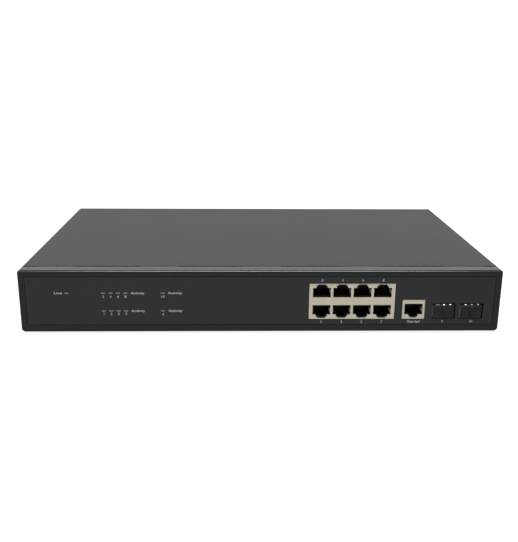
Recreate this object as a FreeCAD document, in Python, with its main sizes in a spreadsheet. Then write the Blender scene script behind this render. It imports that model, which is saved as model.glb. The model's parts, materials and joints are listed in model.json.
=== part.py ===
import FreeCAD, Part
import math
import os
import re
import Sketcher
from FreeCAD import Placement, Rotation, Vector

# A managed network switch in a sheet-steel case, 13 inches wide and one rack unit high.
#
# Case frame, used by every outline below: x to the right, y back from the face of the
# plastic front, z up from the underside of the steel case. finish() then places each
# piece in the part's own frame, whose origin lies on the table, under the middle of the
# overall length.

DIMS = {
    # the case as a whole
    "case_wide": 330.0, "case_high": 43.6, "case_deep": 204.0, "foot_high": 2.4,
    "front_proud": 1.6, "rear_proud": 4.05, "sheet": 1.0,
    # plastic front: its wall, its rim behind the wall, and its corners
    "bezel_deep": 9.8, "bezel_drop": 0.5, "bezel_front": 2.5, "bezel_side": 1.6, "bezel_floor": 1.2,
    "bezel_roof": 2.0, "bezel_lip": 1.0, "lip_deep": 5.3, "corner_round": 2.5,
    "top_round": 2.0, "edge_round": 1.7,
    # printed film let into the front
    "film_wide": 320.0, "film_low": 5.0, "film_top": 39.3, "film_thick": 0.4, "film_gap": 0.3,
    "film_recess": 0.6,
    # lower tray
    "tray_wide": 326.4, "tray_front": 3.4, "tray_top": 41.2, "tray_side": 12.0,
    "joggle": 1.3, "joggle_start": 10.0, "joggle_end": 11.8, "tray_gap": 0.1,
    # cover and its front tabs
    "cover_wide": 329.0, "cover_front": 11.9, "cover_side": 10.4, "cover_low": 0.5, "cover_round": 1.4,
    "cover_lip": 9.0, "tab_wide": 26.5, "tab_pitch": 70.5, "tab_tip": 4.8,
    "tab_foot": 9.4, "tab_head": 12.2, "tab_drop": 1.3,
    # side vents
    "vent_wide": 2.4, "vent_low": 15.0, "vent_top": 34.0, "vent_pitch": 5.2,
    "vent_front": 62.0, "vent_back": 128.0,
    # threaded holes for rack ears, and the screws of the cover
    "ear_y": 33.0, "ear_z": 21.8, "ear_pitch": 26.0, "ear_hole": 2.15, "ear_nut": 3.4,
    "nut_bore": 1.65, "nut_deep": 2.0, "screw_hole": 1.5, "screw_shank": 1.4,
    "screw_head": 2.8, "head_high": 1.0, "side_screw_a": 116.0, "side_screw_b": 196.0,
    "side_screw_z": 30.0, "back_screw_x": 60.0, "back_screw_z": 38.6,
    # rubber feet
    "foot_round": 7.0, "foot_bevel": 0.5, "foot_x": 148.0, "foot_y_a": 28.0, "foot_y_b": 184.0,
    # main board and what holds it
    "board_top": 8.8, "board_thick": 1.6, "board_wide": 312.0, "board_front": 5.5,
    "board_back": 112.0, "post_round": 3.0, "post_bore": 1.25, "board_hole": 1.6,
    "board_shank": 1.2, "board_head": 1.8,
    # block of eight copper ports, two rows of four
    "jack_face": 0.4, "block_x": 61.92, "block_wide": 59.1, "block_high": 25.5,
    "block_deep": 25.4, "port_pitch": 13.97, "port_wide": 12.3, "port_high": 7.0,
    "port_row": 6.2, "key_wide": 7.7, "key_deep": 1.7, "key_tip_wide": 5.4,
    "key_tip_deep": 2.5, "socket_deep": 14.0, "shield": 0.3, "window_gap": 0.3,
    # single serial jack
    "serial_x": 104.75, "serial_wide": 15.5, "serial_high": 13.8, "serial_deep": 21.0,
    "serial_open_z": 15.8, "serial_open_high": 7.8, "serial_open_wide": 12.6,
    "serial_key_wide": 6.5,
    # contact wires of the jacks
    "wire_pitch": 1.02, "wire_wide": 0.45, "wire_thick": 0.35, "wire_front": 3.6,
    "wire_back": 11.0, "wire_rise": 1.9,
    # two slots for pluggable optics
    "slot_a_x": 125.8, "slot_b_x": 145.0, "slot_wide": 16.3, "slot_low": 8.5,
    "slot_top": 19.9, "cage_wide": 14.3, "cage_high": 9.7, "cage_wall": 0.3,
    "cage_front": 1.0, "cage_deep": 48.0, "collar_wall": 0.2, "collar_front": 1.1,
    "spring_crest": 2.6, "spring_wide": 1.5, "spring_rise": 0.75, "spring_pitch": 4.35, "spring_pitch_up": 3.4,
    "optic_socket_front": 35.5, "optic_socket_back": 45.0,
    # dust plugs
    "plug_gap": 0.15, "plug_flange": 0.8, "plug_deep": 13.0, "grip_wide": 1.3,
    "grip_round": 0.6,
    # status lights
    "lamp_wide": 2.7, "lamp_high": 0.8, "lamp_gap": 0.05, "lamp_face": 0.1,
    "lamp_pitch": 5.03, "port_lamp_x": -107.9, "power_lamp_x": -132.65,
    "slot_lamp_x": -67.65, "lamp_z_a": 27.7, "lamp_z_b": 14.9, "guide_front": 5.2,
    "guide_thick": 2.0, "guide_side": 2.6, "guide_low": 9.9, "diode_high": 0.6,
    # chips on the main board
    "chip_x": 62.0, "chip_y": 74.0, "chip_size": 27.0, "chip_high": 1.9, "sink_size": 45.0,
    "sink_base": 3.0, "sink_high": 16.0, "fin_thick": 1.4, "fin_pitch": 4.844,
    # power board
    "power_left": -157.0, "power_right": -40.0, "power_front": 116.0, "power_back": 174.0,
    # mains inlet in the rear wall
    "inlet_x": -118.0, "inlet_z": 17.4, "inlet_flange_wide": 50.0, "inlet_flange_high": 22.4,
    "inlet_flange": 3.0, "inlet_wide": 27.0, "inlet_high": 19.8, "inlet_deep": 18.0,
    "inlet_hollow_wide": 24.2, "inlet_hollow_high": 16.4, "inlet_hollow_deep": 15.5,
    "inlet_bevel": 4.6, "inlet_hole": 20.0, "blade_step": 7.0, "blade_wide": 2.0,
    "blade_high": 4.0,
    # rocker switch beside it
    "rocker_x": -72.0, "rocker_z": 17.4, "frame_wide": 15.0, "frame_high": 21.0,
    "frame_flange": 2.0, "frame_body_wide": 12.8, "frame_body_high": 18.9,
    "frame_deep": 15.0, "frame_hollow_wide": 10.8, "frame_hollow_high": 16.8,
    "frame_hollow_deep": 11.4, "rocker_wide": 10.4, "rocker_half": 7.7, "rocker_waist": 2.0,
    "rocker_under": 5.5, "rocker_foot_half": 6.0, "rocker_tilt": 10.0, "pivot_in": 1.5,
    "pin_round": 1.0, "pin_reach": 6.1, "pin_gap": 0.05,
    # earth screw
    "earth_x": -40.0, "earth_z": 14.0, "earth_shank": 1.6,
}

doc = FreeCAD.newDocument("network_switch")
sheet = doc.addObject("Spreadsheet::Sheet", "dims")
for row, (alias, size) in enumerate(DIMS.items(), 1):
    sheet.set(f"A{row}", alias)
    sheet.set(f"B{row}", str(size))
    sheet.setAlias(f"B{row}", alias)
doc.recompute()


# Expressions and outlines

def bind(text):
    """Point every dimension named in an expression at its cell of the sheet."""
    return re.sub(r"[a-z]\w*", lambda word: f"dims.{word[0]}" if word[0] in DIMS else word[0], str(text))


def value(text):
    """The number that an expression gives now."""
    return float(sheet.evalExpression(bind(text)))


def spread(middle, size):
    """The (low, high) pair of a size centred on a middle."""
    return f"({middle}) - ({size}) / 2", f"({middle}) + ({size}) / 2"


def rect(across, up):
    """Four corners from two (low, high) pairs."""
    (left, right), (bottom, top) = across, up
    return [(left, bottom), (right, bottom), (right, top), (left, top)]


def keyed(x, z, wide, high, key_wide, up):
    """A modular jack's opening: a rectangle with a two-step latch notch, up or down."""
    side = "+" if up else "-"
    (left, right), (key_left, key_right) = spread(x, wide), spread(x, key_wide)
    tip_left, tip_right = spread(x, f"({key_wide}) - key_wide + key_tip_wide")
    plain = f"({z}) {'-' if up else '+'} ({high}) / 2"
    edge = f"({z}) {side} ({high}) / 2"
    step = f"({z}) {side} (({high}) / 2 + key_deep)"
    tip = f"({z}) {side} (({high}) / 2 + key_tip_deep)"
    return [(left, plain), (left, edge), (key_left, edge), (key_left, step),
            (tip_left, step), (tip_left, tip), (tip_right, tip), (tip_right, step),
            (key_right, step), (key_right, edge), (right, edge), (right, plain)]


def pin_point(sketch, geometry, point, x, y):
    """Fix one point of a sketch at two expressions."""
    for kind, text in (("DistanceX", x), ("DistanceY", y)):
        index = sketch.addConstraint(Sketcher.Constraint(kind, -1, 1, geometry, point, value(text)))
        sketch.setExpression(f"Constraints[{index}]", bind(text))


def draw(sketch, outline):
    """Add a circle (x, y, radius) or a closed polygon [(x, y), ...] to a sketch."""
    if isinstance(outline, tuple):
        x, y, radius = outline
        circle = Part.Circle(Vector(value(x), value(y), 0), Vector(0, 0, 1), value(radius))
        index = sketch.addGeometry(circle, False)
        pin_point(sketch, index, 3, x, y)
        held = sketch.addConstraint(Sketcher.Constraint("Radius", index, value(radius)))
        sketch.setExpression(f"Constraints[{held}]", bind(radius))
        return
    corners = [Vector(value(x), value(y), 0) for x, y in outline]
    first = sketch.GeometryCount
    count = len(corners)
    for index in range(count):
        sketch.addGeometry(Part.LineSegment(corners[index], corners[(index + 1) % count]), False)
    for index, (x, y) in enumerate(outline):
        after = first + index
        before = first + (index - 1) % count
        sketch.addConstraint(Sketcher.Constraint("Coincident", before, 2, after, 1))
        pin_point(sketch, after, 1, x, y)


# Solids

class Body:
    """A PartDesign body built from pads and pockets that each span one axis."""

    PLANES = {"x": ("YZ_Plane", 1), "y": ("XZ_Plane", -1), "z": ("XY_Plane", 1)}

    def __init__(self, label):
        self.item = doc.addObject("PartDesign::Body", label)

    def feature(self, kind, axis, start, low, high, outlines):
        role, sign = self.PLANES[axis]
        plane = [item for item in self.item.Origin.OriginFeatures if item.Role == role][0]
        sketch = self.item.newObject("Sketcher::SketchObject", "outline")
        sketch.AttachmentSupport = [(plane, "")]
        sketch.MapMode = "FlatFace"
        sketch.setExpression("AttachmentOffset.Base.z", bind(f"{sign} * ({start})"))
        for outline in outlines:
            draw(sketch, outline)
        made = self.item.newObject(f"PartDesign::{kind}", kind.lower())
        made.Profile = sketch
        made.setExpression("Length", bind(f"({high}) - ({low})"))
        return made

    def pad(self, axis, low, high, *outlines):
        """Add material between two planes across an axis."""
        return self.feature("Pad", axis, high if axis == "y" else low, low, high, outlines)

    def pocket(self, axis, low, high, *outlines):
        """Take material away between two planes across an axis."""
        return self.feature("Pocket", axis, low if axis == "y" else high, low, high, outlines)

    def row(self, feature, pitch, count):
        """Repeat a feature along the first direction of its sketch."""
        pattern = self.item.newObject("PartDesign::LinearPattern", "row")
        pattern.Originals = [feature]
        pattern.Direction = (feature.Profile[0], ["H_Axis"])
        pattern.setExpression("Length", bind(f"({pitch}) * {count - 1}"))
        pattern.Occurrences = count
        self.item.Tip = pattern

    def soften(self, kind, size, chosen):
        """Fillet or chamfer the edges whose bounding box passes a test."""
        doc.recompute()
        base = self.item.Tip
        names = [f"Edge{n}" for n, edge in enumerate(base.Shape.Edges, 1) if chosen(edge.BoundBox)]
        made = self.item.newObject(f"PartDesign::{kind}", kind.lower())
        made.Base = (base, names)
        made.setExpression("Radius" if kind == "Fillet" else "Size", bind(size))

    def done(self):
        return finish(self.item.Label, self.item)


def box(x, y, z):
    """A block between (low, high) pairs."""
    solid = doc.addObject("Part::Box", "block")
    for axis, size, (low, high) in (("x", "Length", x), ("y", "Width", y), ("z", "Height", z)):
        solid.setExpression(f"Placement.Base.{axis}", bind(low))
        solid.setExpression(size, bind(f"({high}) - ({low})"))
    return solid


def rod(axis, centre, radius, low, high):
    """A cylinder along one axis, with its centre given on the other two."""
    turns = {"x": Rotation(Vector(0, 1, 0), 90), "y": Rotation(Vector(1, 0, 0), -90), "z": Rotation()}
    solid = doc.addObject("Part::Cylinder", "rod")
    solid.Placement = Placement(Vector(), turns[axis])
    places = dict(zip([name for name in "xyz" if name != axis], centre))
    places[axis] = low
    for name, text in places.items():
        solid.setExpression(f"Placement.Base.{name}", bind(text))
    solid.setExpression("Radius", bind(radius))
    solid.setExpression("Height", bind(f"({high}) - ({low})"))
    return solid


def fuse(*solids):
    joined = doc.addObject("Part::MultiFuse", "joined")
    joined.Shapes = list(solids)
    return joined


def cut(base, *tools):
    made = doc.addObject("Part::Cut", "cut")
    made.Base = base
    made.Tool = tools[0] if len(tools) == 1 else fuse(*tools)
    return made


def together(solids):
    """Several separate solids in one node: fasteners and chips of one kind."""
    group = doc.addObject("Part::Compound", "group")
    group.Links = list(solids)
    return group


pieces = []


def finish(label, item):
    """Name a sub-part and move it from the case frame to the part's frame."""
    item.Label = label
    item.setExpression("Placement.Base.y", bind("(front_proud - case_deep - rear_proud) / 2"))
    item.setExpression("Placement.Base.z", bind("foot_high"))
    pieces.append(item)
    return item


def feature(label, solids):
    """A sub-part whose many small solids are made straight from the sheet's values."""
    item = doc.addObject("Part::Feature", label)
    item.Shape = Part.makeCompound(solids) if len(solids) > 1 else solids[0]
    return finish(label, item)


# Places that several pieces share

BLOCK_Z = "board_top + block_high / 2"
SLOT_Z = "board_top + cage_high / 2"
CAGE_TOP = "board_top + cage_high"
BOARD_LOW = "board_top - board_thick"
TRAY_BACK = "case_deep - sheet - tray_gap"
PIVOT_Y = f"{TRAY_BACK} + frame_flange - pivot_in"
PORT_COLUMNS = [f"block_x + ({step}) * port_pitch" for step in (-1.5, -0.5, 0.5, 1.5)]
PORTS = [(x, f"{BLOCK_Z} {side} port_row", side == "+") for x in PORT_COLUMNS for side in "+-"]
SLOTS = ["slot_a_x", "slot_b_x"]
PORT_LAMPS = [f"port_lamp_x + {column} * lamp_pitch" for column in range(4)]
LAMP_ROWS = ["lamp_z_a", "lamp_z_b"]
LAMPS = [(x, z) for x in PORT_LAMPS + ["slot_lamp_x"] for z in LAMP_ROWS]
LAMPS.append(("power_lamp_x", "lamp_z_a"))
BEZEL_BOSSES = [("-152", "34"), ("-152", "8"), ("-20", "34"), ("-20", "8"), ("154.5", "34")]
EARS = [(f"ear_y {a} ear_pitch / 2", f"ear_z {b} ear_pitch / 2") for a in "+-" for b in "+-"]
SIDE_SCREWS = [("side_screw_a", "side_screw_z"), ("side_screw_b", "side_screw_z")]
BACK_SCREWS = [("-back_screw_x", "back_screw_z"), ("back_screw_x", "back_screw_z")]
EARTH = ("earth_x", "earth_z")
MAIN_POSTS = [("-150", "18"), ("0", "18"), ("104.75", "34"), ("-150", "104"), ("0", "104"), ("150", "104")]
POWER_POSTS = [("-152", "121"), ("-46", "121"), ("-152", "169"), ("-46", "169")]


def jack_windows(gap, low=None):
    """Openings in a front wall for the two jacks, with a gap all round or open down to low."""
    jacks = (("block_x", "block_wide", "block_high"), ("serial_x", "serial_wide", "serial_high"))
    return [rect(spread(x, f"{wide} + 2 * {gap}"), (low or f"board_top - {gap}", f"board_top + {high} + {gap}"))
            for x, wide, high in jacks]


def slot_windows():
    return [rect(spread(x, "slot_wide"), ("slot_low", "slot_top")) for x in SLOTS]


def lamp_windows(gap):
    return [rect(spread(x, f"lamp_wide + 2 * {gap}"), spread(z, f"lamp_high + 2 * {gap}")) for x, z in LAMPS]


# Case

def front_bezel():
    """Moulded front: a wall with every window, and a rim that laps over cover and tray."""
    body = Body("front_bezel")
    body.pad("y", "0", "bezel_deep", rect(spread("0", "case_wide"), ("-bezel_drop", "case_high")))
    high = value("case_high")
    body.soften("Fillet", "corner_round", lambda b: b.YLength > 5 and b.ZMax < 0.1)
    body.soften("Fillet", "top_round", lambda b: b.YLength > 5 and b.ZMin > high - 0.1)
    body.soften("Fillet", "edge_round", lambda b: b.YMax < 0.1)
    inside = spread("0", "case_wide - 2 * bezel_side")
    body.pocket("y", "bezel_front", "bezel_deep", rect(inside, ("bezel_floor", "case_high - bezel_roof")))
    body.pocket("y", "bezel_deep - lip_deep", "bezel_deep",
                rect(inside, ("case_high - bezel_roof - 0.1", "case_high - bezel_lip")))
    film = rect(spread("0", "film_wide + 2 * film_gap"), ("film_low - film_gap", "film_top + film_gap"))
    body.pocket("y", "0", "film_recess", film)
    body.pocket("y", "0", "bezel_front", *jack_windows("window_gap"), *slot_windows())
    body.pocket("y", "0", "bezel_front", *lamp_windows("lamp_gap"))
    body.pad("y", "bezel_front - 0.1", "tray_front", *[(x, z, "post_round") for x, z in BEZEL_BOSSES])
    body.pocket("y", "bezel_front - 1.3", "tray_front", *[(x, z, "post_bore") for x, z in BEZEL_BOSSES])
    body.done()


def front_label():
    """Printed film, cut out around the jacks, the slots and the lights."""
    body = Body("front_label")
    face = "film_recess - film_thick"
    body.pad("y", face, "film_recess", rect(spread("0", "film_wide"), ("film_low", "film_top")))
    body.pocket("y", face, "film_recess", *jack_windows("window_gap"), *slot_windows())
    body.pocket("y", face, "film_recess", *lamp_windows("lamp_gap"))
    body.done()


def chassis_tray():
    """Lower tray: floor, front wall behind the bezel, rear wall and two side flanges."""
    body = Body("chassis_tray")
    back = TRAY_BACK
    bent = [("tray_front", "tray_top"), ("tray_front", "joggle"), ("joggle_start", "joggle"),
            ("joggle_end", "0"), (back, "0"), (back, "case_high - sheet - 0.3"),
            (f"{back} - sheet", "case_high - sheet - 0.3"), (f"{back} - sheet", "sheet"),
            ("joggle_end + 0.4", "sheet"), ("joggle_start + 0.4", "joggle + sheet"),
            ("tray_front + sheet", "joggle + sheet"), ("tray_front + sheet", "tray_top")]
    left, right = spread("0", "tray_wide")
    body.pad("x", left, right, bent)
    tab_a, tab_b = "side_screw_a - 7", "side_screw_a + 7"
    ear_end = "ear_y + ear_pitch / 2 + 8"
    flange = [("tray_front", "joggle"), ("joggle_start", "joggle"), ("joggle_end", "0"), (back, "0"),
              (back, "case_high - sheet - 0.3"), ("side_screw_b - 7", "case_high - sheet - 0.3"),
              ("side_screw_b - 7", "tray_side"), (tab_b, "tray_side"), (tab_b, "side_screw_z + 6"),
              (tab_a, "side_screw_z + 6"), (tab_a, "tray_side"), (ear_end, "tray_side"),
              (ear_end, "tray_top"), ("tray_front", "tray_top")]
    body.pad("x", left, f"{left} + sheet", flange)
    body.pad("x", f"{right} - sheet", right, flange)
    sides = [(y, z, "ear_hole") for y, z in EARS] + [(y, z, "screw_hole") for y, z in SIDE_SCREWS]
    body.pocket("x", left, f"{left} + sheet", *sides)
    body.pocket("x", f"{right} - sheet", right, *sides)
    lamps = [rect((f"{low} - guide_side + 0.6", f"{high} + guide_side - 0.6"), ("lamp_z_b - 2", "lamp_z_a + 2"))
             for low, high in ((PORT_LAMPS[0], PORT_LAMPS[3]), ("slot_lamp_x", "slot_lamp_x"),
                               ("power_lamp_x", "power_lamp_x"))]
    body.pocket("y", "tray_front", "tray_front + sheet", *slot_windows(),
                *jack_windows("window_gap", "joggle + sheet"))
    body.pocket("y", "tray_front", "tray_front + sheet", *lamps,
                *[(x, z, "screw_hole") for x, z in BEZEL_BOSSES])
    inlet = rect(spread("inlet_x", "inlet_wide + 0.4"), spread("inlet_z", "inlet_high + 0.4"))
    rocker = rect(spread("rocker_x", "frame_body_wide + 0.4"), spread("rocker_z", "frame_body_high + 0.4"))
    round_holes = [(f"inlet_x {side} inlet_hole", "inlet_z", "screw_hole") for side in "+-"]
    round_holes += [(x, z, "screw_hole") for x, z in BACK_SCREWS] + [("earth_x", "earth_z", "ear_hole")]
    body.pocket("y", f"{back} - sheet", back, inlet, rocker, *round_holes)
    slot = body.pocket("y", f"{back} - sheet", back, rect(("24", "27"), ("10", "30")))
    body.row(slot, "6", 20)
    body.done()


def top_cover():
    """Cover: roof, two sides and a rear lip, with five joggled tabs under the bezel's lip."""
    body = Body("top_cover")
    left, right = spread("0", "cover_wide")
    roof = "case_high - sheet"
    body.pad("y", "cover_side", "case_deep", rect((left, right), ("cover_low", "case_high")))
    half, high, deep = value("cover_wide / 2"), value("case_high"), value("case_deep")
    body.soften("Fillet", "cover_round", lambda b: b.ZMin > high - 0.1 and (
        (b.YLength > 50 and abs(b.Center.x) > half - 0.1) or (b.XLength > 50 and b.YMin > deep - 0.1)))
    inside = (f"{left} + sheet", f"{right} - sheet")
    body.pocket("y", "cover_side", "case_deep - sheet", rect(inside, ("cover_low", roof)))
    body.pocket("z", roof, "case_high", rect(inside, ("cover_side", "cover_front")))
    body.pocket("y", "case_deep - sheet", "case_deep", rect((left, right), ("cover_low", "case_high - cover_lip")))
    relief = rect(spread("-2 * tab_pitch", "tab_wide"), ("cover_front", "tab_head"))
    gap = body.pocket("z", roof, "case_high", relief)
    body.row(gap, "tab_pitch", 5)
    bent = [("tab_head", "case_high"), ("tab_foot", "case_high - tab_drop"),
            ("tab_tip", "case_high - tab_drop"), ("tab_tip", f"{roof} - tab_drop"),
            ("tab_foot + 0.2", f"{roof} - tab_drop"), ("tab_head + 0.2", roof)]
    for step in range(-2, 3):
        low, top = spread(f"({step}) * tab_pitch", "tab_wide")
        body.pad("x", low, top, bent)
    for bank in ("vent_front", "vent_back"):
        slot = rect((bank, f"{bank} + vent_wide"), ("vent_low", "vent_top"))
        vent = body.pocket("x", left, right, slot)
        body.row(vent, "vent_pitch", 9)
    sides = [(y, z, "ear_hole") for y, z in EARS] + [(y, z, "screw_hole") for y, z in SIDE_SCREWS]
    body.pocket("x", left, right, *sides)
    body.pocket("y", "case_deep - sheet", "case_deep", *[(x, z, "screw_hole") for x, z in BACK_SCREWS])
    body.done()


def rubber_feet():
    """Four stick-on feet, each a disc with a chamfered lower rim."""
    feet = []
    for x in ("-foot_x", "foot_x"):
        for y in ("foot_y_a", "foot_y_b"):
            rim = doc.addObject("Part::Cone", "rim")
            rim.setExpression("Radius1", bind("foot_round - foot_bevel"))
            for name, text in (("Radius2", "foot_round"), ("Height", "foot_bevel"), ("Placement.Base.x", x),
                               ("Placement.Base.y", y), ("Placement.Base.z", "-foot_high")):
                rim.setExpression(name, bind(text))
            feet.append(fuse(rim, rod("z", (x, y), "foot_round", "foot_bevel - foot_high", "0")))
    finish("rubber_feet", together(feet))


def case_fasteners():
    """Low-head screws through cover and tray, and clinch nuts for rack ears and earth."""
    screws = [fuse(rod("y", (x, z), "screw_head", "case_deep", "case_deep + head_high"),
                   rod("y", (x, z), "screw_shank", "case_deep - 5", "case_deep")) for x, z in BACK_SCREWS]
    wall = f"{TRAY_BACK} - sheet"
    nuts = [cut(rod("y", EARTH, "ear_nut", f"{wall} - nut_deep", wall),
                rod("y", EARTH, "nut_bore", f"{wall} - nut_deep", wall))]
    for sign in ("-", ""):
        face = f"{sign}cover_wide / 2"
        out, deep, inner = [f"{sign}({text})" for text in (
            "cover_wide / 2 + head_high", "cover_wide / 2 - 5", "tray_wide / 2 - sheet")]
        nut_end = f"{sign}(tray_wide / 2 - sheet - nut_deep)"
        for y, z in SIDE_SCREWS:
            head, shank = ((out, face), (face, deep)) if sign else ((face, out), (deep, face))
            screws.append(fuse(rod("x", (y, z), "screw_head", *head), rod("x", (y, z), "screw_shank", *shank)))
        for y, z in EARS:
            low, top = (inner, nut_end) if sign else (nut_end, inner)
            nuts.append(cut(rod("x", (y, z), "ear_nut", low, top), rod("x", (y, z), "nut_bore", low, top)))
    finish("cover_screws", together(screws))
    finish("clinch_nuts", together(nuts))
    finish("bezel_screws", together([fuse(
        rod("y", (x, z), "screw_head", "tray_front + sheet", "tray_front + sheet + 0.8"),
        rod("y", (x, z), "board_shank", "bezel_front - 1.2", "tray_front + sheet")) for x, z in BEZEL_BOSSES]))


# Boards and their fixings

def circuit_boards():
    body = Body("main_board")
    body.pad("z", BOARD_LOW, "board_top", rect(spread("0", "board_wide"), ("board_front", "board_back")))
    body.pocket("z", BOARD_LOW, "board_top", *[(x, y, "board_hole") for x, y in MAIN_POSTS])
    body.done()
    body = Body("power_board")
    body.pad("z", BOARD_LOW, "board_top", rect(("power_left", "power_right"), ("power_front", "power_back")))
    body.pocket("z", BOARD_LOW, "board_top", *[(x, y, "board_hole") for x, y in POWER_POSTS])
    body.done()
    finish("board_posts", together([cut(
        rod("z", at, "post_round", "sheet", BOARD_LOW),
        rod("z", at, "post_bore", "sheet", BOARD_LOW)) for at in MAIN_POSTS + POWER_POSTS]))
    finish("board_screws", together([fuse(
        rod("z", at, "screw_head", "board_top", "board_top + board_head"),
        rod("z", at, "board_shank", f"{BOARD_LOW} - 4", "board_top")) for at in MAIN_POSTS + POWER_POSTS]))
    body = Body("insulator_sheet")
    body.pad("z", "sheet", "sheet + 0.4", rect(("power_left - 2", "power_right + 2"), ("power_front", "power_back + 6")))
    body.pocket("z", "sheet", "sheet + 0.4", *[(x, y, "post_round + 0.4") for x, y in POWER_POSTS])
    body.done()


def chips():
    """Switch chip under a finned heat sink, memory, crystals, coils and capacitors."""
    chip = [spread(middle, "chip_size") for middle in ("chip_x", "chip_y")]
    body = Body("switch_chip")
    body.pad("z", "board_top", "board_top + chip_high", rect(*chip))
    body.done()
    body = Body("heat_sink")
    low = "board_top + chip_high"
    left, right = spread("chip_x", "sink_size")
    front, back = spread("chip_y", "sink_size")
    body.pad("z", low, f"{low} + sink_base", rect((left, right), (front, back)))
    fin = body.pad("z", f"{low} + sink_base", f"{low} + sink_high", rect((left, f"{left} + fin_thick"), (front, back)))
    body.row(fin, "fin_pitch", 10)
    body.done()
    memory = [box(spread(x, "13"), spread(y, "10.5"), ("board_top", "board_top + 1.1"))
              for x, y in (("20", "66"), ("20", "82"), ("108", "74"))]
    finish("memory_chips", together(memory))
    crystals = [box(spread(x, "11"), spread(y, "4.6"), ("board_top", "board_top + 3.6"))
                for x, y in (("62", "42"), ("108", "92"))]
    finish("clock_crystals", together(crystals))
    places = [("-60", "40"), ("-60", "56"), ("-60", "72"), ("-55", "134"), ("-55", "145"), ("-55", "156")]
    finish("small_capacitors", together([rod("z", at, "4", "board_top", "board_top + 14") for at in places]))
    coils = [box(spread(x, "10"), spread(y, "10"), ("board_top", "board_top + 4.6"))
             for x, y in (("-44", "40"), ("-44", "56"), ("-44", "72"))]
    finish("board_inductors", together(coils))


# Jacks and slots on the front

def contact_wires(jacks):
    """Eight sprung wires per jack, rising away from the side opposite the latch notch."""
    size = {name: value(name) for name in ("wire_pitch", "wire_wide", "wire_thick", "wire_front",
                                           "wire_back", "wire_rise", "jack_face")}
    wires = []
    for x, z, high, up in jacks:
        side = 1 if up else -1
        base = value(z) - side * value(high) / 2
        front, back = size["jack_face"] + size["wire_front"], size["jack_face"] + size["wire_back"]
        thick, rise = side * size["wire_thick"], side * size["wire_rise"]
        profile = [(front, base), (back, base + rise), (back, base + rise + thick), (front, base + thick)]
        for number in range(8):
            left = value(x) + (number - 3.5) * size["wire_pitch"] - size["wire_wide"] / 2
            corners = [Vector(left, y, height) for y, height in profile]
            face = Part.Face(Part.makePolygon(corners + corners[:1]))
            wires.append(face.extrude(Vector(size["wire_wide"], 0, 0)))
    feature("contact_wires", wires)


def jack(prefix, x, wide, high, deep, openings):
    """A plastic insert with its sockets, inside a thin plated shield open underneath."""
    face, low, top = "jack_face", "board_top", f"board_top + {high}"
    body = Body(f"{prefix}_housing")
    inner = rect(spread(x, f"{wide} - 2 * shield"), (low, f"{top} - shield"))
    body.pad("y", f"{face} + shield", f"{face} + {deep} - shield", inner)
    sockets = [keyed(px, pz, f"({pw}) - 0.2", f"({ph}) - 0.2", kw, up) for px, pz, pw, ph, kw, up in openings]
    body.pocket("y", f"{face} + shield", f"{face} + socket_deep", *sockets)
    body.done()
    body = Body(f"{prefix}_shield")
    body.pad("y", face, f"{face} + {deep}", rect(spread(x, wide), (low, top)))
    body.pocket("y", f"{face} + shield", f"{face} + {deep} - shield", inner)
    body.pocket("y", face, f"{face} + shield", *[keyed(*opening) for opening in openings])
    body.done()


def jacks():
    ports = [(x, z, "port_wide", "port_high", "key_wide", up) for x, z, up in PORTS]
    jack("port_block", "block_x", "block_wide", "block_high", "block_deep", ports)
    serial = ("serial_x", "serial_open_z", "serial_open_wide", "serial_open_high", "serial_key_wide", False)
    jack("serial_jack", "serial_x", "serial_wide", "serial_high", "serial_deep", [serial])
    contact_wires([(x, z, "port_high - 0.2", up) for x, z, up in PORTS]
                  + [("serial_x", "serial_open_z", "serial_open_high - 0.2", False)])


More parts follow.
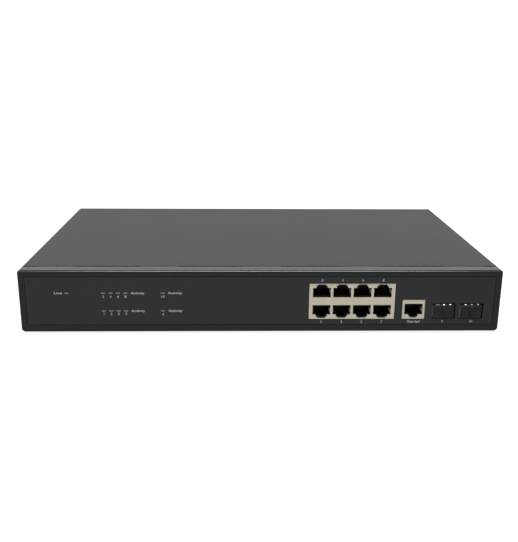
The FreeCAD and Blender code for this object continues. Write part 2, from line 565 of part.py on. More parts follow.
def optic_slots():
    """Cage, spring collar, socket and dust plug of each pluggable slot."""
    for letter, x in zip("ab", SLOTS):
        outer = rect(spread(x, "cage_wide"), ("board_top", CAGE_TOP))
        inner = rect(spread(x, "cage_wide - 2 * cage_wall"), ("board_top + cage_wall", f"{CAGE_TOP} - cage_wall"))
        body = Body(f"optic_cage_{letter}")
        body.pad("y", "cage_front", "cage_front + cage_deep", outer)
        body.pocket("y", "cage_front", "cage_front + cage_deep - cage_wall", inner)
        body.done()

        body = Body(f"spring_collar_{letter}")
        wrap = rect(spread(x, "cage_wide + 2 * collar_wall"), ("board_top", f"{CAGE_TOP} + collar_wall"))
        body.pad("y", "collar_front", "board_front", wrap)
        body.pocket("y", "collar_front", "board_front", outer)
        foot = f"{CAGE_TOP} + collar_wall"
        bow = [("collar_front", f"{foot} - 0.1"), ("collar_front", f"{foot} + 0.1"),
               ("spring_crest", f"{foot} + spring_rise"), ("spring_crest + 0.8", f"{foot} + spring_rise"),
               ("board_front", f"{foot} + 0.1"), ("board_front", f"{foot} - 0.1")]
        for step in (-1, 0, 1):
            left, right = spread(f"{x} + ({step}) * spring_pitch", "spring_wide")
            body.pad("x", left, right, bow)
        for sign in "-+":
            side = f"{x} {sign} (cage_wide / 2 + collar_wall - 0.1)"
            rise = f"{x} {sign} (cage_wide / 2 + collar_wall + spring_rise)"
            bow = [(side, "collar_front"), (rise, "spring_crest"), (rise, "spring_crest + 0.8"),
                   (side, "board_front")]
            for step in (-1, 0, 1):
                low, top = spread(f"{SLOT_Z} + ({step}) * spring_pitch_up", "spring_wide")
                body.pad("z", low, top, bow)
        body.done()

        body = Body(f"optic_socket_{letter}")
        body.pad("y", "optic_socket_front", "optic_socket_back",
                 rect(spread(x, "11.6"), ("board_top + cage_wall", "board_top + cage_wall + 6.2")))
        body.pocket("y", "optic_socket_front", "optic_socket_back - 3",
                    rect(spread(x, "9"), ("board_top + cage_wall + 3", "board_top + cage_wall + 4.4")))
        body.done()

        body = Body(f"dust_plug_{letter}")
        margin = "cage_wall + plug_gap"
        body.pad("y", "plug_flange - 0.1", "plug_deep",
                 rect(spread(x, f"cage_wide - 2 * ({margin})"), (f"board_top + {margin}", f"{CAGE_TOP} - ({margin})")))
        body.soften("Fillet", "0.4", lambda b: b.YLength > 5)
        body.pad("y", "0", "plug_flange", outer)
        left, right = spread(x, "grip_wide")
        grip = rect(("-front_proud", "0.1"), (f"board_top + {margin} + 0.5", f"{CAGE_TOP} - {margin} - 0.6"))
        body.pad("x", left, right, grip)
        body.soften("Fillet", "grip_round", lambda b: b.XLength > 1 and b.YMax < -1)
        body.done()


def light_guides():
    """Clear guides from the diodes on the board to the windows in the front."""
    banks = {"port_light_guide": (PORT_LAMPS, LAMP_ROWS), "slot_light_guide": (["slot_lamp_x"], LAMP_ROWS),
             "power_light_guide": (["power_lamp_x"], LAMP_ROWS[:1])}
    back = "guide_front + guide_thick"
    diodes = []
    for label, (columns, rows) in banks.items():
        left, right = f"{columns[0]} - guide_side", f"{columns[-1]} + guide_side"
        body = Body(label)
        body.pad("y", "guide_front", back, rect((left, right), ("guide_low", "lamp_z_a + lamp_high / 2")))
        feet = [rect((left, f"{left} + 0.8"), ("board_top", "guide_low + 0.1")),
                rect((f"{right} - 0.8", right), ("board_top", "guide_low + 0.1"))]
        body.pad("y", "board_front", back, *feet)
        body.pad("y", "lamp_face", "guide_front + 0.1",
                 *[rect(spread(x, "lamp_wide"), spread(z, "lamp_high")) for x in columns for z in rows])
        body.done()
        for x in columns:
            for offset in ("- 0.85", "+ 0.85")[:len(rows)]:
                diodes.append(box(spread(f"{x} {offset}", "1.2"), ("board_front + 0.2", "board_front + 1.1"),
                                  ("board_top", "board_top + diode_high")))
    finish("status_diodes", together(diodes))


# Power supply

def power_parts():
    top = "board_top"
    body = Body("transformer_core")
    outer = rect(("-92", "-64"), ("132", "160"))
    body.pad("z", f"{top} + 2", f"{top} + 24", outer)
    body.pocket("z", f"{top} + 2", f"{top} + 24", rect(("-88", "-81"), ("130", "162")), rect(("-75", "-68"), ("130", "162")))
    body.pad("z", f"{top} + 2", f"{top} + 6", outer)
    body.pad("z", f"{top} + 20", f"{top} + 24", outer)
    body.done()
    body = Body("transformer_winding")
    body.pad("z", f"{top} + 6", f"{top} + 20", rect(("-88", "-68"), ("128", "164")))
    body.pocket("z", f"{top} + 6", f"{top} + 20", rect(("-81", "-75"), ("132", "160")))
    body.pad("z", top, f"{top} + 6.1", rect(("-87.5", "-68.5"), ("128", "131.6")), rect(("-87.5", "-68.5"), ("160.4", "164")))
    body.done()
    finish("bulk_capacitor", together([rod("z", ("-106", "152"), "9", top, f"{top} + 28")]))
    body = Body("line_choke")
    body.pad("z", top, f"{top} + 20", rect(spread("-142", "20"), spread("154", "18")))
    body.pocket("z", top, f"{top} + 20", rect(spread("-142", "4"), spread("154", "8")))
    body.done()
    body = Body("suppressor_capacitor")
    body.pad("z", top, f"{top} + 14", rect(spread("-142", "18"), spread("134", "8")))
    body.soften("Chamfer", "1", lambda b: b.ZMin > 20)
    body.done()
    body = Body("power_heat_sink")
    body.pad("x", "-126", "-124", rect(("126", "166"), (top, f"{top} + 24")))
    body.pad("x", "-126", "-120", rect(("126", "166"), (f"{top} + 22", f"{top} + 24")))
    body.done()
    finish("power_transistor", together([box(("-124", "-119.4"), ("140", "150.2"), (f"{top} + 3", f"{top} + 18"))]))
    body = Body("fuse")
    body.pad("y", "120", "140", ("-114", "board_top + 3.4", "2.6"))
    body.pad("y", "118.5", "124", rect(spread("-114", "6"), (top, f"{top} + 6.6")))
    body.pad("y", "136", "141.5", rect(spread("-114", "6"), (top, f"{top} + 6.6")))
    body.done()
    finish("mains_terminal", together([box(("-112", "-96"), ("162", "170"), (top, f"{top} + 8"))]))
    finish("supply_terminals", together([box(("-96", "-84"), (front, f"{front} + 6"), (top, f"{top} + 8"))
                                         for front in ("104", "117")]))


def mains_inlet():
    """Appliance inlet with two bevelled corners, three blades, and two screws."""
    back = TRAY_BACK
    body = Body("inlet_housing")
    flange = rect(spread("inlet_x", "inlet_flange_wide"), spread("inlet_z", "inlet_flange_high"))
    body.pad("y", back, f"{back} + inlet_flange", flange)
    body.soften("Fillet", "5", lambda b: b.YLength > 2)
    body.pad("y", f"{back} - inlet_deep", f"{back} + 0.1",
             rect(spread("inlet_x", "inlet_wide"), spread("inlet_z", "inlet_high")))
    left, right = spread("inlet_x", "inlet_hollow_wide")
    low, top = spread("inlet_z", "inlet_hollow_high")
    hollow = [(left, low), (right, low), (right, f"{top} - inlet_bevel"), (f"{right} - inlet_bevel", top),
              (f"{left} + inlet_bevel", top), (left, f"{top} - inlet_bevel")]
    end = f"{back} + inlet_flange"
    body.pocket("y", f"{end} - inlet_hollow_deep", end, hollow)
    body.pocket("y", back, end, *[(f"inlet_x {side} inlet_hole", "inlet_z", "screw_hole") for side in "+-"])
    blades = [(f"inlet_x {text}", z) for text, z in (
        ("- blade_step", "inlet_z - 2"), ("+ blade_step", "inlet_z - 2"), ("+ 0", "inlet_z + 2"))]
    body.pocket("y", f"{back} - inlet_deep", f"{end} - inlet_hollow_deep",
                *[rect(spread(x, "blade_wide"), spread(z, "blade_high")) for x, z in blades])
    body.done()
    finish("inlet_blades", together([fuse(
        box(spread(x, "blade_wide"), (f"{back} - inlet_deep", f"{end} - 2"), spread(z, "blade_high")),
        box(spread(x, "0.8"), (f"{back} - inlet_deep - 7", f"{back} - inlet_deep"), spread(z, "6.3"))) for x, z in blades]))
    finish("inlet_screws", together([fuse(
        rod("y", (f"inlet_x {side} inlet_hole", "inlet_z"), "screw_head", end, f"{end} + 1.4"),
        rod("y", (f"inlet_x {side} inlet_hole", "inlet_z"), "screw_shank", f"{back} - 6", end)) for side in "+-"]))
    finish("inlet_nuts", together([cut(
        rod("y", (f"inlet_x {side} inlet_hole", "inlet_z"), "3", f"{back} - sheet - 2.4", f"{back} - sheet"),
        rod("y", (f"inlet_x {side} inlet_hole", "inlet_z"), "screw_hole", f"{back} - sheet - 2.4", f"{back} - sheet"))
        for side in "+-"]))


def power_switch():
    """Rocker that turns on two short pins inside a snap-in frame; it rests at off."""
    back = TRAY_BACK
    face = f"{back} + frame_flange"
    body = Body("switch_frame")
    body.pad("y", back, face, rect(spread("rocker_x", "frame_wide"), spread("rocker_z", "frame_high")))
    body.soften("Fillet", "1", lambda b: b.YLength > 1)
    body.pad("y", f"{back} - frame_deep", f"{back} + 0.1",
             rect(spread("rocker_x", "frame_body_wide"), spread("rocker_z", "frame_body_high")))
    body.pocket("y", f"{face} - frame_hollow_deep", face,
                rect(spread("rocker_x", "frame_hollow_wide"), spread("rocker_z", "frame_hollow_high")))
    for low, top in (("rocker_x - pin_reach - 0.1", "rocker_x - frame_hollow_wide / 2"),
                     ("rocker_x + frame_hollow_wide / 2", "rocker_x + pin_reach + 0.1")):
        body.pocket("x", low, top, (PIVOT_Y, "rocker_z", "pin_round + pin_gap"))
    body.done()
    finish("switch_terminals", together([
        box(spread("rocker_x", "6.3"), (f"{back} - frame_deep - 8", f"{back} - frame_deep"), spread(f"rocker_z {side} 4", "0.8"))
        for side in "+-"]))

    # Drawn about its pivot, then turned and moved to it: each half of the face slopes by
    # the tilt, so that the pressed half lies flush.
    body = Body("switch_rocker")
    end = "rocker_waist + rocker_half * tan(rocker_tilt * 1 deg)"
    outline = [("rocker_waist", "0"), (end, "rocker_half"), ("-rocker_under", "rocker_foot_half"),
               ("-rocker_under", "-rocker_foot_half"), (end, "-rocker_half")]
    body.pad("x", "-rocker_wide / 2", "rocker_wide / 2", outline)
    body.pad("x", "-pin_reach", "pin_reach", ("0", "0", "pin_round"))
    rocker = body.done()
    rocker.Placement = Placement(Vector(), Rotation(Vector(1, 0, 0), -value("rocker_tilt")))
    rocker.setExpression("Placement.Base.x", bind("rocker_x"))
    rocker.setExpression("Placement.Base.y", bind(f"{PIVOT_Y} + (front_proud - case_deep - rear_proud) / 2"))
    rocker.setExpression("Placement.Base.z", bind("rocker_z + foot_high"))
    rocker.setExpression("Placement.Rotation.Angle", bind("rocker_tilt * 1 deg"))


def earth_screw():
    back = TRAY_BACK
    finish("earth_screw", fuse(rod("y", EARTH, "4", f"{back} + 1", f"{back} + 3.4"),
                               rod("y", EARTH, "earth_shank", f"{back} - 7", f"{back} + 1")))
    finish("earth_washer", cut(rod("y", EARTH, "4.6", back, f"{back} + 1"),
                               rod("y", EARTH, "ear_hole", back, f"{back} + 1")))


def lead(points, radius):
    """A round wire along straight runs joined by arcs that touch both runs."""
    corners = [Vector(*point) for point in points]
    edges, last = [], corners[0]
    for before, corner, after in zip(corners, corners[1:], corners[2:]):
        into, out = corner - before, after - corner
        reach = 0.45 * min(into.Length, out.Length)
        bend = reach / math.tan(into.getAngle(out) / 2)
        into.normalize()
        out.normalize()
        inward = (out - into).normalize()
        middle = corner + inward * (math.hypot(bend, reach) - bend)
        start, stop = corner - into * reach, corner + out * reach
        edges += [Part.LineSegment(last, start).toShape(), Part.Arc(start, middle, stop).toShape()]
        last = stop
    edges.append(Part.LineSegment(last, corners[-1]).toShape())
    ring = Part.Wire(Part.Circle(corners[0], corners[1] - corners[0], radius).toShape())
    return Part.Wire(edges).makePipeShell([ring], True, True)


def wiring():
    """Leads from the inlet by way of the rocker, the supply's output, and the earth."""
    inlet_end = value(f"{TRAY_BACK} - inlet_deep - 7")
    rocker_end = value(f"{TRAY_BACK} - frame_deep - 8")
    blade = {name: value(f"inlet_x {text}") for name, text in (
        ("line", "+ blade_step"), ("neutral", "- blade_step"), ("earth", "+ 0"))}
    low, high, rocker_x, rocker_z = [value(text) for text in ("inlet_z - 2", "inlet_z + 2", "rocker_x", "rocker_z")]
    top = value("board_top + 8")
    feature("mains_leads", [
        lead([(blade["line"], inlet_end, low), (blade["line"], 172.5, low), (blade["line"], 172, 28),
              (rocker_x, 172, 30), (rocker_x, 173.5, rocker_z + 4), (rocker_x, rocker_end, rocker_z + 4)], 1.1),
        lead([(blade["neutral"], inlet_end, low), (blade["neutral"], 173.5, low), (-119, 168.8, 20),
              (-108, 166, 24.5), (-108, 166, top)], 1.1),
        lead([(rocker_x, rocker_end, rocker_z - 4), (rocker_x, 174.5, rocker_z - 4), (-80, 173, 14),
              (-93, 171, 22), (-100, 166, 24), (-100, 166, top)], 1.1)])
    earth_end = value(f"{TRAY_BACK} - 7")
    feature("earth_lead", [
        lead([(blade["earth"], inlet_end, high), (blade["earth"], 173, high), (blade["earth"], 172, 34),
              (-60, 173, 36), (-46, 178, 30), (value("earth_x"), 184, value("earth_z")),
              (value("earth_x"), earth_end, value("earth_z"))], 1.1)])
    feature("supply_leads", [lead([(x, 120, top), (x, 120, 25), (x, 107, 25), (x, 107, top)], 0.9) for x in (-93, -87)])


front_bezel()
front_label()
chassis_tray()
top_cover()
rubber_feet()
case_fasteners()
circuit_boards()
chips()
jacks()
optic_slots()
light_guides()
power_parts()
mains_inlet()
power_switch()
earth_screw()
wiring()
doc.recompute()

failed = [item.Label for item in doc.Objects if "Invalid" in item.State or "Error" in item.State]
failed += [item.Label for item in pieces if item.Shape.isNull() or not item.Shape.isValid()]
if failed:
    raise SystemExit(f"not built: {failed}")
os.makedirs("parts", exist_ok=True)
for item in pieces:
    item.Shape.exportStep(f"parts/{item.Label}.step")
    extent = item.Shape.BoundBox
    print(f"{item.Label:24s} {len(item.Shape.Solids):3d} solids {item.Shape.Volume:10.1f} mm3 "
          f"x {extent.XMin:8.2f} {extent.XMax:8.2f} y {extent.YMin:8.2f} {extent.YMax:8.2f} "
          f"z {extent.ZMin:7.2f} {extent.ZMax:7.2f}")
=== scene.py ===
# %% [markdown]
# # A network switch, thirteen inches wide
# The real object is a folded steel tray under a folded steel cover, closed in front by a
# moulded plastic face with a printed film on it. The tray, the cover, the jacks and the
# boards come ready-made as a fixed frame, at real size. What is left to do here is what
# hands and eyes notice: formed springs, plugs, screws, print, and the finish of every
# surface. A frame that never moves is the easiest start, because each new piece can read
# its place from it.
# %% Load the frame and keep its box
import json
import math
import bmesh
import bpy
from mathutils import Matrix, Vector


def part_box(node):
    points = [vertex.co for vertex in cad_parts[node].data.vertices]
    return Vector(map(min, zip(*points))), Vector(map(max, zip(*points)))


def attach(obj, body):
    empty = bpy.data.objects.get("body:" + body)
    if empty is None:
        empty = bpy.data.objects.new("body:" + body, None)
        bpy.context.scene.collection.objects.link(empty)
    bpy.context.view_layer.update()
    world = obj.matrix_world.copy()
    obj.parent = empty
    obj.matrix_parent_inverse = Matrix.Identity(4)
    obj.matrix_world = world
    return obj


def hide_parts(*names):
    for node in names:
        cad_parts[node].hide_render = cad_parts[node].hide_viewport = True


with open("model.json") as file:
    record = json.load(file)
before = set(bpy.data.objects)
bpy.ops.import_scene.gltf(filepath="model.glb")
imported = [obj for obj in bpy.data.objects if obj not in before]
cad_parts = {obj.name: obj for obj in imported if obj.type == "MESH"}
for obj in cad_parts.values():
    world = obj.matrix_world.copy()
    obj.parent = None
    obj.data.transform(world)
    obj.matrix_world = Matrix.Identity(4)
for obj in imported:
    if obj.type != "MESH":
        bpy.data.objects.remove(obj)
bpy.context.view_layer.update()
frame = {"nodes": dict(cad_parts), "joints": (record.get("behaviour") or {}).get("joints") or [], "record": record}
mm = 0.001
case_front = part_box("front_bezel")[0].y
case_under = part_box("chassis_tray")[0].z

# %% [markdown]
# ## Camera
# The switch is shown the way a catalogue shows it: from a little above and almost square
# on. The camera could be aimed with a constraint, but plain yaw, tilt and roll angles keep
# its small lean. Its place is measured from the lower front edge of the case.
# %% Camera
EYE = Vector((-15.8, -474.8, 186.1)) * mm
YAW, TILT, ROLL = 1.639, 16.715, 0.469
LENS = 48.77

camera = bpy.data.objects.new("camera", bpy.data.cameras.new("camera"))
bpy.context.scene.collection.objects.link(camera)
camera.data.lens = LENS
camera.data.sensor_width = 36
camera.data.clip_start = 0.01
turn = Matrix.Rotation(math.radians(-YAW), 4, "Z")
turn = turn @ Matrix.Rotation(math.radians(90 - TILT), 4, "X")
turn = turn @ Matrix.Rotation(math.radians(ROLL), 4, "Z")
camera.matrix_world = Matrix.Translation(EYE + Vector((0, case_front, case_under))) @ turn
bpy.context.scene.camera = camera

# %% [markdown]
# ## Writing shader graphs as arithmetic
# A finish is a small graph of shader nodes. It could be wired by hand in the editor, one
# Math node at a time, but a formula is easier to read. `Field` wraps one socket and turns
# + - * and > into Math nodes, and `Graph` makes any other node from its type, its settings
# and its inputs. Patterns read Object coordinates, which are the same metres as the frame,
# so a scale of 1000 means details a millimetre across.
# %% Shader helpers
class Field:
    """A number that varies over a surface."""

    def __init__(self, graph, socket):
        self.graph = graph
        self.socket = socket

    def maths(self, operation, first, second):
        return self.graph.node("Math", {"operation": operation}, {0: first, 1: second})

    def __add__(self, other):
        return self.maths("ADD", self, other)

    def __mul__(self, other):
        return self.maths("MULTIPLY", self, other)

    def __sub__(self, other):
        return self.maths("SUBTRACT", self, other)

    def __rsub__(self, other):
        return self.maths("SUBTRACT", other, self)

    def __gt__(self, other):
        return self.maths("GREATER_THAN", self, other)

    __radd__ = __add__
    __rmul__ = __mul__


class Graph:
    """Any node tree, with nodes made by type, settings and inputs."""

    def __init__(self, tree):
        self.tree = tree

    def node(self, kind, settings, inputs, output=0):
        made = self.tree.nodes.new("ShaderNode" + kind)
        for name, value in settings.items():
            setattr(made, name, value)
        for name, value in inputs.items():
            self.link(value, made.inputs[name])
        return Field(self, made.outputs[output])

    def link(self, value, socket):
        if isinstance(value, Field):
            self.tree.links.new(value.socket, socket)
        else:
            socket.default_value = value

    def ease(self, field, start, end):
        """0 before start, 1 after end, smooth between."""
        return self.node("MapRange", {"interpolation_type": "SMOOTHSTEP"},
                         {"Value": field, "From Min": start, "From Max": end})


class Finish(Graph):
    """A node material for one of the object's finishes."""

    def __init__(self, name, metallic=0.0, **sockets):
        self.material = bpy.data.materials.new(name)
        self.material.use_nodes = True
        super().__init__(self.material.node_tree)
        self.shader = self.tree.nodes["Principled BSDF"]
        self.shader.inputs["Metallic"].default_value = metallic
        for socket, value in sockets.items():
            self.shader.inputs[socket.replace("_", " ")].default_value = value
        self.place = self.node("TexCoord", {}, {}, "Object")

    def noise(self, scale, detail=2.0, stretch=(1, 1, 1)):
        """Cloudy noise between 0 and 1; stretch multiplies the scale along each axis."""
        place = self.node("Mapping", {}, {"Vector": self.place, "Scale": stretch})
        return self.node("TexNoise", {}, {"Vector": place, "Scale": scale, "Detail": detail})

    def mix(self, mask, low, high):
        """A colour between two colours."""
        return self.node("Mix", {"data_type": "RGBA"}, {0: mask, 6: low, 7: high}, 2)

    def finish(self, colour, roughness, height=None, depth=0.0, edge=0.0):
        """Wire colour, roughness and a bump in metres; edge softens sharp CAD corners."""
        self.link(colour, self.shader.inputs["Base Color"])
        self.link(roughness, self.shader.inputs["Roughness"])
        normal = None
        if edge:
            normal = self.node("Bevel", {"samples": 4}, {"Radius": edge})
        if height is not None:
            inputs = {"Height": height, "Distance": depth, "Strength": 1.0}
            if normal:
                inputs["Normal"] = normal
            normal = self.node("Bump", {}, inputs)
        if normal:
            self.link(normal, self.shader.inputs["Normal"])
        return self.material


def grey(level, warm=0.0):
    """An RGBA grey; a positive warm value leans it towards yellow."""
    return (level * (1 + warm), level, level * (1 - 2 * warm), 1)


# %% [markdown]
# ## Floor and light
# Dark paint shows little of its own colour: most of what the eye reads is what it mirrors.
# So the studio is a white table that melts into a white surround, one narrow soft box
# overhead that draws a line of light along the top edge, a weak one at the left, a lit
# wall behind that the cover mirrors at a low angle, and a dim room in front that leaves
# the face dark. The surround could be built from panels, but one formula on its direction
# does the same. The camera itself sees it plain white.
# %% Surround
ROOM, WALL, TABLE = 0.11, 1.06, 0.38

world = bpy.data.worlds.new("surround")
bpy.context.scene.world = world
world.use_nodes = True
bpy.context.scene.view_settings.view_transform = "Standard"
around = Graph(world.node_tree)
toward = around.node("TexCoord", {}, {}, "Generated")
along = around.node("SeparateXYZ", {}, {"Vector": toward}, "Y")
up = around.node("SeparateXYZ", {}, {"Vector": toward}, "Z")
wall = around.ease(along, 0.25, 0.75) * (1 - around.ease(up, 0.30, 0.44))
table = 1 - around.ease(up, -0.05, 0.0)
glow = ROOM + wall * (WALL - ROOM)
glow = glow + table * (TABLE - glow)
seen = around.node("LightPath", {}, {}, "Is Camera Ray")
around.link(glow + seen * (1 - glow), world.node_tree.nodes["Background"].inputs["Strength"])
world.node_tree.nodes["Background"].inputs["Color"].default_value = (1, 1, 1, 1)


# %% Lamps
def softbox(name, place, aim, size, power):
    lamp = bpy.data.objects.new(name, bpy.data.lights.new(name, "AREA"))
    bpy.context.scene.collection.objects.link(lamp)
    lamp.data.shape = "RECTANGLE"
    lamp.data.size, lamp.data.size_y = size
    lamp.data.energy = power
    lamp.location = place
    lamp.rotation_euler = (Vector(aim) - Vector(place)).to_track_quat("-Z", "Y").to_euler()


softbox("overhead", (0.02, -0.34, 0.95), (0.02, -0.12, 0), (0.76, 0.40), 18.5)
softbox("left_fill", (-0.50, -0.55, 0.42), (-0.05, -0.1, 0.02), (0.35, 0.35), 0.8)

# %% Floor
FLOOR = 4.0
bpy.ops.object.select_all(action="DESELECT")
bpy.ops.mesh.primitive_plane_add(size=FLOOR, location=(0, 0, 0))
floor = bpy.context.active_object
floor.name = "floor"
ground = Finish("pale_floor", Specular_IOR_Level=0.1, Emission_Strength=0.9)
lit = ground.node("LightPath", {}, {}, "Is Camera Ray")
ground.link(ground.mix(lit, grey(0.0), grey(1.0)), ground.shader.inputs["Emission Color"])
away = ground.node("VectorMath", {"operation": "LENGTH"}, {0: ground.place}, "Value")
ground.link(1 - ground.ease(away, 0.45, 0.95), ground.shader.inputs["Alpha"])
fleck = ground.noise(60, 2)
floor.data.materials.append(ground.finish(ground.mix(fleck, grey(0.27), grey(0.30)), 0.8))

# %% [markdown]
# ## Painted steel and moulded plastic
# The cover is powder coated: baked powder leaves a faint orange peel with finer specks on
# top, so its bump has two scales. The front is moulded in an etched tool, which gives an
# even fine grain and a slight sheen, and the film on it is matt and smoother. Each could
# be one dark grey, but the eye tells the three apart by grain and gloss, so those differ
# more than the colours do.
# %% Cover, front and film
finishes = {}

coat = Finish("cover_coat", Specular_IOR_Level=0.5)
peel, speck, cloud = coat.noise(420, 2), coat.noise(1900, 2), coat.noise(28, 3)
finishes["cover_coat"] = coat.finish(
    coat.mix(cloud * 0.6 + speck * 0.4, grey(0.015, -0.06), grey(0.022, -0.06)),
    speck * 0.16 + 0.38, peel * 0.5 + speck * 0.5, 0.06 * mm, 0.25 * mm)

shell = Finish("front_plastic", Specular_IOR_Level=0.35)
grain, cloud = shell.noise(1500, 3), shell.noise(35, 2)
finishes["front_plastic"] = shell.finish(
    shell.mix(cloud * 0.5 + grain * 0.5, grey(0.010, -0.06), grey(0.014, -0.06)),
    grain * 0.08 + 0.20, grain, 0.012 * mm)

film = Finish("front_film", Specular_IOR_Level=0.5)
grain, cloud = film.noise(2600, 2), film.noise(22, 2)
finishes["front_film"] = film.finish(
    film.mix(cloud * 0.7 + grain * 0.3, grey(0.012, -0.06), grey(0.016, -0.06)),
    cloud * 0.08 + 0.47, grain, 0.012 * mm)

# %% [markdown]
# ## Bare and plated metals
# The tray is zinc-coated sheet, whose crystals show as flat patches, so its pattern comes
# from Voronoi cells. The jacks are tin plated: satin, warm, with faint rolling lines that
# run along the strip. A metal's colour is its reflection, so roughness carries most of
# the variation here.
# %% Tray, jack and cage plating
def plated(name, colour, rough, stretch, edge=0.08 * mm, spread=0.14, metallic=1.0):
    """Rolled and plated strip: fine lines along one axis under soft stains."""
    metal = Finish(name, metallic=metallic)
    lines, stain = metal.noise(900, 2, stretch), metal.noise(140, 3)
    dim = tuple(0.80 * part for part in colour[:3]) + (1,)
    finishes[name] = metal.finish(
        metal.mix(stain * 0.65 + lines * 0.35, dim, colour),
        lines * spread * 0.6 + stain * spread + rough, lines, 0.006 * mm, edge)


zinc = Finish("tray_steel", metallic=1.0)
cells = zinc.node("TexVoronoi", {}, {"Vector": zinc.place, "Scale": 160}, "Color")
tone = zinc.node("SeparateColor", {}, {"Color": cells}, "Red")
fine = zinc.noise(900, 2)
finishes["tray_steel"] = zinc.finish(
    zinc.mix(tone * 0.7 + fine * 0.3, grey(0.34), grey(0.50)),
    tone * 0.14 + fine * 0.1 + 0.30, fine, 0.01 * mm, 0.2 * mm)

plated("jack_tin", (0.78, 0.72, 0.57, 1), 0.40, (0.1, 1, 1), metallic=0.5)
plated("cage_tin", grey(0.55, 0.02), 0.30, (1, 0.1, 1))
plated("spring_steel", grey(0.95, 0.01), 0.17, (1, 0.1, 1))
plated("zinc_steel", grey(0.62, 0.02), 0.24, (1, 1, 1))
plated("dark_screw", grey(0.05), 0.34, (1, 1, 1))
plated("can_metal", grey(0.66), 0.22, (1, 1, 0.1))
plated("sink_aluminium", grey(0.70), 0.34, (1, 0.1, 1))
plated("gold_contact", (0.58, 0.40, 0.17, 1), 0.26, (1, 0.1, 1), 0.03 * mm)
plated("blade_brass", grey(0.62, 0.03), 0.20, (1, 0.1, 1), 0.2 * mm)

# %% [markdown]
# ## Moulded plastics and rubber
# Connectors, plugs, terminals and feet are all moulded, each with its own grain and
# gloss. One function covers them because they are made in one way, and what differs is
# passed in: colour, roughness, and how coarse and deep the grain is.
# %% Moulded parts
def moulded(name, colour, rough, scale=1400, depth=0.02 * mm, edge=0.15 * mm, **sockets):
    plastic = Finish(name, **sockets)
    grain, flow = plastic.noise(scale, 2), plastic.noise(60, 3)
    deep = tuple(0.72 * part for part in colour[:3]) + (1,)
    finishes[name] = plastic.finish(
        plastic.mix(flow * 0.6 + grain * 0.4, deep, colour),
        grain * 0.12 + flow * 0.08 + rough, grain, depth, edge)


moulded("jack_plastic", grey(0.016), 0.34)
moulded("plug_plastic", grey(0.013, -0.03), 0.42, 1100, 0.012 * mm, 0.1 * mm,
        Specular_IOR_Level=0.35)
moulded("rubber", grey(0.022), 0.62, 900, 0.05 * mm)
moulded("inlet_plastic", grey(0.024), 0.34, 1000, 0.03 * mm)
moulded("rocker_plastic", grey(0.020), 0.20, 1800, 0.006 * mm)
moulded("chip_black", grey(0.026), 0.46, 2200, 0.02 * mm)
moulded("ferrite", grey(0.060), 0.55, 1500, 0.05 * mm)
moulded("capacitor_sleeve", (0.016, 0.022, 0.06, 1), 0.24, 2000, 0.004 * mm)
moulded("choke_body", (0.52, 0.40, 0.06, 1), 0.36)
moulded("winding_tape", (0.72, 0.55, 0.08, 1), 0.26, 500, 0.03 * mm)
moulded("terminal_plastic", (0.78, 0.76, 0.68, 1), 0.36)
moulded("lead_black", grey(0.02), 0.32, 1600, 0.006 * mm)
moulded("lead_green", (0.10, 0.32, 0.04, 1), 0.34, 1600, 0.006 * mm)
moulded("lead_red", (0.50, 0.02, 0.02, 1), 0.34, 1600, 0.006 * mm)
moulded("legend_ink", grey(0.66), 0.50, 2600, 0.003 * mm, 0)
moulded("diode_body", (0.80, 0.80, 0.72, 1), 0.30)
moulded("clear_film", grey(0.50), 0.22, 800, 0.01 * mm, 0)

# %% [markdown]
# ## Light guides and circuit boards
# A light guide is frosted acrylic. Real refraction would need many light bounces for a
# part two millimetres across, so a pale body with a soft glow of light under the surface
# stands in for it. A board has copper tracks under its lacquer: Manhattan-distance cells give
# straight-edged shapes close enough to tracks seen through a vent.
# %% Guides and boards
guide = Finish("light_guide", Subsurface_Weight=0.3, Subsurface_Scale=0.5 * mm, Coat_Weight=0.3)
frost = guide.noise(1200, 2)
finishes["light_guide"] = guide.finish(
    guide.mix(frost, grey(0.17), grey(0.23)), frost * 0.15 + 0.22, frost, 0.01 * mm, 0.1 * mm)


def laminate(name, bare, track):
    board = Finish(name)
    across = board.node("TexVoronoi", {"distance": "MANHATTAN"},
                        {"Vector": board.place, "Scale": 320})
    weave = board.noise(2400, 1)
    mask = (across > 0.42) * 0.8 + weave * 0.2
    finishes[name] = board.finish(
        board.mix(mask, track, bare), weave * 0.1 + 0.26, across, 0.03 * mm, 0.1 * mm)


laminate("board_green", (0.012, 0.085, 0.040, 1), (0.030, 0.150, 0.070, 1))
laminate("board_tan", (0.36, 0.22, 0.08, 1), (0.44, 0.29, 0.12, 1))

# %% Give every piece of the frame its finish
slot_of = {part["node"]: part["material_slot"] for part in frame["record"]["subparts"]}
for name, node in frame["nodes"].items():
    node.data.materials.clear()
    node.data.materials.append(finishes[slot_of[name]])
print(len(slot_of), "nodes finished with", len(set(slot_of.values())), "materials")

# %% [markdown]
# ## Tools for modelling by hand
# Every new piece below starts from a primitive at its real size and place, is cut and
# pulled into shape in edit mode, and is finished with modifiers. A few short helpers keep
# that readable: one adds a block, one opens a piece with chosen faces selected, and one
# applies a modifier. Faces are chosen by where they are, so nothing depends on numbering.
# %% Modelling helpers
def only(piece):
    """Select one piece and nothing else."""
    bpy.ops.object.select_all(action="DESELECT")
    piece.select_set(True)
    bpy.context.view_layer.objects.active = piece


def named(name):
    """Name the new primitive and put its place and size into its mesh."""
    piece = bpy.context.active_object
    piece.name = name
    bpy.ops.object.transform_apply(location=True, rotation=True, scale=True)
    return piece


def block(name, low, high):
    bpy.ops.object.select_all(action="DESELECT")
    low, high = Vector(low), Vector(high)
    bpy.ops.mesh.primitive_cube_add(size=1, location=(low + high) / 2, scale=high - low)
    return named(name)


